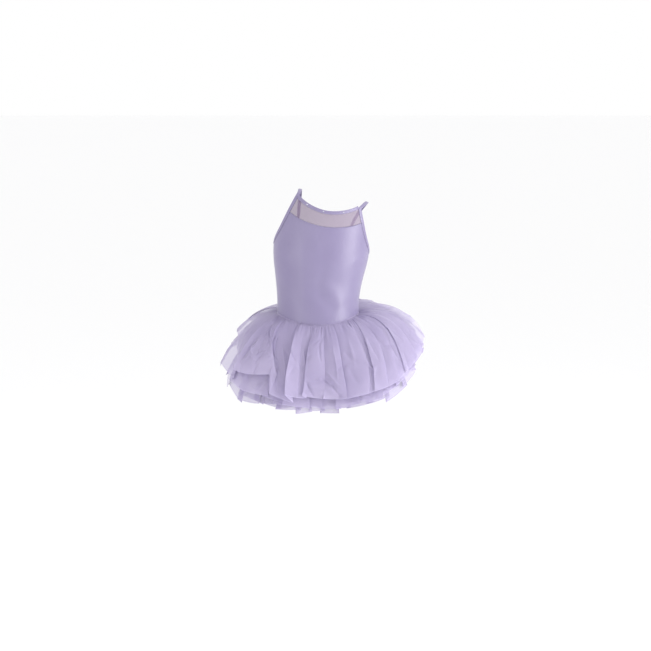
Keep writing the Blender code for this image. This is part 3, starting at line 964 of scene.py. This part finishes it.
def fold_row(waist, hem, rng, size):
    """A row of a fold table, drawn round a mean step."""
    return (
        waist,
        hem,
        rng.uniform(*DRAWN_OVERLAP),
        rng.choice((-1, 1)),
        size * rng.uniform(*DRAWN_STEP),
        rng.uniform(*DRAWN_CROWN),
        rng.uniform(*DRAWN_LONGER),
        rng.uniform(*DRAWN_LONGER),
        rng.choice(DRAWN_TUCKS),
    )


def gathered_line(folds, t, rng):
    """Angles and reliefs of the folded cloth, and its hem's changes, at shares t of its length."""
    waist, hem, overlap, on_top, step, crown, longer_start, longer_end, tuck = folds.T
    t = t[:, None]
    centre = waist + (hem - waist) * t**FOLD_BEND
    centre = centre + FOLD_WANDER * np.sin(math.pi * t * 2 + rng.uniform(0, 6, len(folds)))
    half = 0.5 * (overlap * t**OVERLAP_GROWTH - (1 - t))
    grown = STEP_AT_WAIST + (1 - STEP_AT_WAIST) * np.clip(t / STEP_FULL_AT, 0, 1) ** 1.3
    high = STEP_ABOVE * step * grown
    low = -(1 - STEP_ABOVE) * step * grown
    before = np.where(on_top > 0, high, low)
    after = np.where(on_top > 0, low, high)
    around = np.roll(np.arange(len(folds)), -1)
    turn = np.where(around == 0, 360.0, 0.0)
    q = np.linspace(0, 1, PANEL_SAMPLES, endpoint=False)
    p = np.linspace(0, 1, FOLD_SAMPLES, endpoint=False)
    from_x, to_x = centre - half, (centre + half)[:, around] + turn
    panel_x = from_x[..., None] + (to_x - from_x)[..., None] * q
    lift = after[..., None] + (before[:, around] - after)[..., None] * q
    flat = MEAN_RADIUS * (1 - np.cos(np.radians(0.5 * (to_x - from_x)))) * t**1.5
    billow = np.sin(math.pi * t**0.8) * 0.6 + 0.4 * t
    rise = crown * billow - 0.85 * flat
    panel_r = lift + rise[..., None] * (1 - (2 * q - 1) ** 2)
    under = np.clip((t - TUCK_FROM) / (1 - TUCK_FROM), 0, 1) ** 2
    panel_r = panel_r - (tuck * under)[..., None] * np.sin(math.pi * q) ** 0.5
    back_x = from_x[:, around] + turn
    ease = p * p * (3 - 2 * p)
    fold_x = to_x[..., None] + (back_x - to_x)[..., None] * ease
    fold_r = before[:, around][..., None] + (after - before)[:, around][..., None] * p
    angle = np.concatenate([panel_x, fold_x], axis=-1).reshape(len(t), -1)
    relief = np.concatenate([panel_r, fold_r], axis=-1).reshape(len(t), -1)
    panel_hem = longer_start[:, None] + (longer_end - longer_start)[:, None] * q
    fold_hem = longer_end[:, None] + (longer_start[around] - longer_end)[:, None] * ease
    longer = np.concatenate([panel_hem, fold_hem], axis=-1).reshape(1, -1)
    samples = angle.shape[1]
    trend = angle[:, :1] + 360.0 * np.arange(samples) / samples
    wander = angle - trend
    for _ in range(SMOOTHING_PASSES):
        wander, relief = (
            0.25 * np.roll(line, 1, axis=1) + 0.5 * line + 0.25 * np.roll(line, -1, axis=1)
            for line in (wander, relief)
        )
    return trend + wander, relief, longer


def crumples(s, t, rng, places):
    """Creases, each along a short line on the cloth: the given ones, then others."""
    relief = np.zeros(np.broadcast(s, t).shape)
    rows = list(places)
    for _ in range(CREASE_COUNT):
        from_s = rng.uniform(0, 360)
        from_t = rng.uniform(*CREASE_START)
        to_s = from_s + rng.uniform(*CREASE_ACROSS)
        to_t = from_t + rng.uniform(*CREASE_DOWN)
        height = rng.uniform(*CREASE_HEIGHT) * rng.choice((-1, 1))
        rows.append((from_s, from_t, to_s, to_t, height, rng.uniform(*CREASE_WIDTH)))
    for s0, t0, s1, t1, height, width in rows:
        along = np.array([(s1 - s0) * MM_PER_DEGREE, (t1 - t0) * TIER_LENGTH])
        long = np.linalg.norm(along)
        along = along / long
        ds = (np.mod(s - s0 + 180, 360) - 180) * MM_PER_DEGREE
        dt = (t - t0) * TIER_LENGTH
        forward = ds * along[0] + dt * along[1]
        aside = ds * along[1] - dt * along[0] + CREASE_WANDER * np.sin(forward / 13)
        ends = np.clip(forward / long, 0, 1) * (1 - np.clip(forward / long, 0, 1)) * 4
        relief += height * ends * np.exp(-np.abs(aside / width) ** 1.15)
    return relief


def tulle_sheet(name, node, hem, place, fixed, count, seed, size, offset, shorter, creases):
    """One gathered sheet of tulle. A tier has two, the inner one a little shorter."""
    rng = np.random.default_rng(seed)
    folds = folds_round(fixed, count, rng, size)
    rows = INNER_ROWS if shorter else OUTER_ROWS
    t = np.concatenate([np.linspace(0, 1, rows) ** ROW_SPACING * CUT_EDGE, [1.0]])
    degrees, relief, longer = gathered_line(folds, t, rng)
    angle = np.radians(degrees)
    t = t[:, None]
    cloth = degrees[-1:]
    base, normal = tier_surface(hem, place, angle, t, longer - shorter)
    for waves, reach in GATHERS:
        phase = rng.uniform(0, 6)
        swing = np.sin(np.radians(cloth) * waves + phase + 3 * np.sin(np.radians(cloth) * 7 + phase))
        relief = relief + GATHER_HEIGHT * swing * bump(t - 0.05, reach)
    relief = relief + crumples(cloth, t, rng, creases) + offset * np.clip(t / OFFSET_FULL_AT, 0, 1)
    points = base + relief[..., None] * normal
    tuck = torso(angle[0], seam_height(angle[0]) + TULLE_TUCK, -TULLE_TUCK_SINK)
    lip = torso(angle[0], seam_height(angle[0]) - LIP_DROP, LIP_CLEARANCE + LIP_STEP * place)
    points = np.concatenate([tuck[None], lip[None], points])
    piece = grid_object(name, points, tulle_net, closed=True)
    finish_piece(piece, node)


def tier_surface(hem, place, angle, t, drop):
    """The smooth surface of a tier, and its normals, at angles round and shares of its length."""
    degrees = np.degrees(angle)
    out = np.stack([np.sin(angle), -np.cos(angle), np.zeros_like(angle)], axis=-1)
    up = np.array([0.0, 0.0, 1.0])
    leave = np.radians(round_table(degrees, hem, 3))[..., None]
    leave_along = np.cos(leave) * out + np.sin(leave) * up
    stacked = np.cos(leave) * up + np.maximum(-np.sin(leave), 0) * out
    start = torso(angle, seam_height(angle) - SEAM_DROP, SEAM_CLEARANCE) + place * STACK_STEP * stacked
    end = round_table(degrees, hem, 1)[..., None] * out
    end[..., 2] = SEAM_SIDE + round_table(degrees, hem, 2)
    span = end - start
    length = np.linalg.norm(span, axis=-1, keepdims=True)
    end = end + span / length * drop[..., None]
    knee = start + PUFF * length * leave_along
    t = t[..., None]
    point = (1 - t) ** 2 * start + 2 * t * (1 - t) * knee + t * t * end
    slope = 2 * (1 - t) * (knee - start) + 2 * t * (end - knee)
    level = (slope * out).sum(-1, keepdims=True)
    normal = unit(up * level - out * slope[..., 2:3])
    return point, normal


# The six sheets: piece, node, hems, the tier's place from the inside out, the listed folds, how many
# more are drawn, the draw's seed, their mean step, how far off its tier's surface the sheet lies and
# how much shorter than its tier it is, all in mm, and the listed creases
TULLE_SHEETS = (
    ("tulle_bottom_in", "tulle_bottom_tier", HEM_BOTTOM, 0, (), 22, 11, 6.0, -6.0, 15.0, ()),
    ("tulle_bottom_out", "tulle_bottom_tier", HEM_BOTTOM, 0, LOW_FOLDS, 16, 12, 7.0, 0.0, 0.0, ()),
    ("tulle_middle_in", "tulle_middle_tier", HEM_MIDDLE, 1, INNER_FOLDS, 17, 23, 6.0, -5.0, 14.0, ()),
    ("tulle_middle_out", "tulle_middle_tier", HEM_MIDDLE, 1, SIDE_FOLDS, 11, 24, 8.0, 0.5, 0.0, ()),
    ("tulle_top_in", "tulle_top_tier", HEM_TOP, 2, INNER_FOLDS, 18, 5, 6.0, -5.0, 14.0, ()),
    ("tulle_top_out", "tulle_top_tier", HEM_TOP, 2, FRONT_FOLDS, 8, 6, 7.5, 2.0, 0.0, FRONT_CREASES),
)
for sheet in TULLE_SHEETS:
    tulle_sheet(*sheet)


# The three clear stones on the front neckline, as shares from one corner (-1) to the other (1)
CRYSTAL_PLACES = (-0.62, -0.1, 0.5)
CRYSTAL_RADIUS = 1.3
CRYSTAL_HEIGHT = 1.1
CRYSTAL_SINK = 0.1
CRYSTAL_SIDES = 10
# Rings of a stone from its back: share of the radius and of the height, and turn in sides
CRYSTAL_RINGS = ((0.96, 0.0, 0), (1.0, 0.25, 0), (0.78, 0.7, 0.5), (0.5, 1.0, 0))


def crystals():
    """Flat-backed faceted stones, glued on the neckline's binding."""
    material = shader_material("clear_crystal", (0.93, 0.94, 0.98), 0.04, Metallic=0.55, Coat_Weight=1.0)[0]
    angle, height = math.radians(FRONT_EDGE[-1][0]), FRONT_EDGE[-1][1]
    centre, away, normals = neck_path(angle, height, NECK_CENTRE, False)
    sides = CRYSTAL_SIDES
    for number, place in enumerate(CRYSTAL_PLACES, 1):
        at = int(round((place + 1) / 2 * (len(centre) - 1)))
        seat = centre[at] + (BINDING_HALF_THICKNESS + BINDING_CROWN - CRYSTAL_SINK) * normals[at]
        sideways = unit(np.cross(away[at], normals[at]))
        points, faces = [], []
        for radius, out, twist in CRYSTAL_RINGS:
            for k in range(sides):
                turn = 2 * math.pi * (k + twist) / sides
                ring = CRYSTAL_RADIUS * radius * (math.cos(turn) * sideways + math.sin(turn) * away[at])
                points.append(seat + ring + CRYSTAL_HEIGHT * out * normals[at])
        for r in range(3):
            for k in range(sides):
                one, two = r * sides + k, r * sides + (k + 1) % sides
                faces.append((one, two, two + sides))
                faces.append((one, two + sides, one + sides))
        faces.append(tuple(reversed(range(sides))))
        faces.append(tuple(3 * sides + k for k in range(sides)))
        faceted_piece(f"crystal_{number}", points, faces, material)


crystals()


# The photo's frame: a pixel at the dress is this many millimetres, in a square of 651 pixels
PIXEL = 2.37
FRAME_PIXELS = 651
WAIST_PIXEL = (318.0, 312.0)
WAIST_POINT = (-26.8, -278.3)
CAMERA_DISTANCE = 5.0
CAMERA_ELEVATION = math.radians(8.0)
FLOOR_HEIGHT = -1.03
FLOOR_HALF = 30.0
# Soft boxes, in metres: name, place, aim, width and height, and power
LIGHTS = (
    ("key", (2.25, -1.25, -0.2), (-0.02, 0.0, -0.25), (0.7, 1.7), 30),
    ("top", (1.9, -0.3, 1.1), (0.1, 0.0, -0.4), (0.9, 0.9), 14),
    ("fill", (-1.9, -1.8, -0.2), (-0.02, 0.0, -0.25), (0.6, 1.7), 8),
)


def camera():
    """The photo's view of the dress."""
    half = 0.5 * FRAME_PIXELS
    x = WAIST_POINT[0] + (half - WAIST_PIXEL[0]) * PIXEL
    z = WAIST_POINT[1] - (half - WAIST_PIXEL[1]) * PIXEL / math.cos(CAMERA_ELEVATION)
    data = bpy.data.cameras.new("camera")
    data.sensor_width = 36.0
    data.lens = data.sensor_width * CAMERA_DISTANCE / (FRAME_PIXELS * PIXEL * MM)
    obj = new_object("camera", data)
    obj.location = (
        x * MM,
        -CAMERA_DISTANCE * math.cos(CAMERA_ELEVATION),
        z * MM + CAMERA_DISTANCE * math.sin(CAMERA_ELEVATION),
    )
    obj.rotation_euler = (0.5 * math.pi - CAMERA_ELEVATION, 0, 0)
    bpy.context.scene.camera = obj


def area_light(name, place, aim, size, power):
    """A soft box of the given width and height."""
    data = bpy.data.lights.new(name, "AREA")
    data.shape = "RECTANGLE"
    data.size, data.size_y = size
    data.energy = power
    obj = new_object(name, data)
    obj.location = place
    obj.rotation_euler = (Vector(aim) - Vector(place)).to_track_quat("-Z", "Y").to_euler()


def stage():
    """A pale floor, an even studio world and the soft boxes."""
    mesh = bpy.data.meshes.new("floor")
    half = FLOOR_HALF
    mesh.from_pydata(
        [(-half, -half, 0), (half, -half, 0), (half, half, 0), (-half, half, 0)], [], [(0, 1, 2, 3)]
    )
    mesh.materials.append(shader_material("floor_paint", (0.97, 0.97, 0.975), 0.9)[0])
    floor = new_object("floor", mesh)
    floor.location = (0, 0, FLOOR_HEIGHT)
    world = bpy.data.worlds.new("studio")
    bpy.context.scene.world = world
    world.use_nodes = True
    set_inputs(world.node_tree.nodes["Background"], Color=(1.0, 1.0, 1.0, 1.0), Strength=1.0)
    for light in LIGHTS:
        area_light(*light)
    bpy.context.scene.view_settings.view_transform = "Standard"


camera()
stage()
